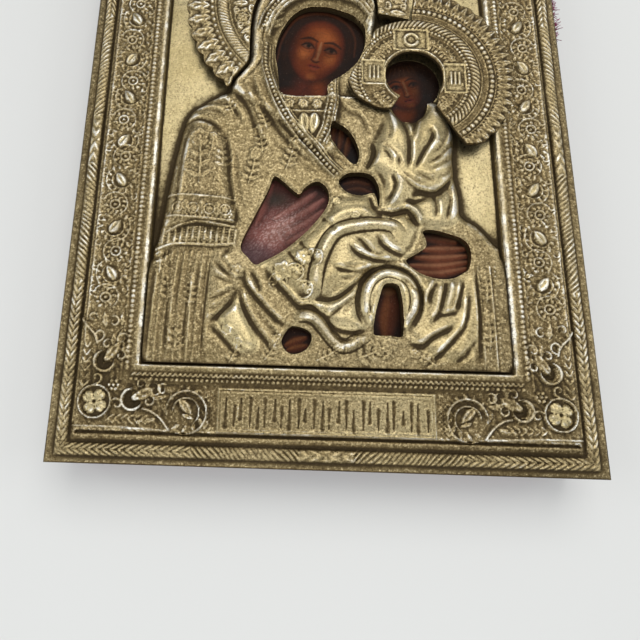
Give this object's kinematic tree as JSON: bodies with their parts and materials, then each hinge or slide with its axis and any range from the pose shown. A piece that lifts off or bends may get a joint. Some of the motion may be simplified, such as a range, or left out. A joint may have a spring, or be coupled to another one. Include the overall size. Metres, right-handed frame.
{
  "type": "icon panel",
  "caption": "Wooden devotional panel with a pressed brass relief cover open over painted faces and hands, raised haloes and a velvet-covered back.",
  "frame": {"origin": "centre of the footprint, on the surface that the panel lies on", "axes": "+Z out of the picture's face, +Y to the picture's top, +X to the viewer's right"},
  "size_m": [0.178, 0.2264, 0.0268],
  "materials": {
    "painted_wood": "aged wood, dark varnished paint on the front",
    "velvet": "worn raspberry velvet",
    "brass_cover": "aged pressed brass with dark patina in the recesses",
    "brass_halo": "aged pressed brass, matte",
    "brass_halo_child": "aged pressed brass, matte"
  },
  "bodies": {
    "root": {"board": "painted_wood", "velvet_back": "velvet", "cover": "brass_cover", "halo_mother": "brass_halo", "halo_child": "brass_halo_child"}
  },
  "joints": []
}
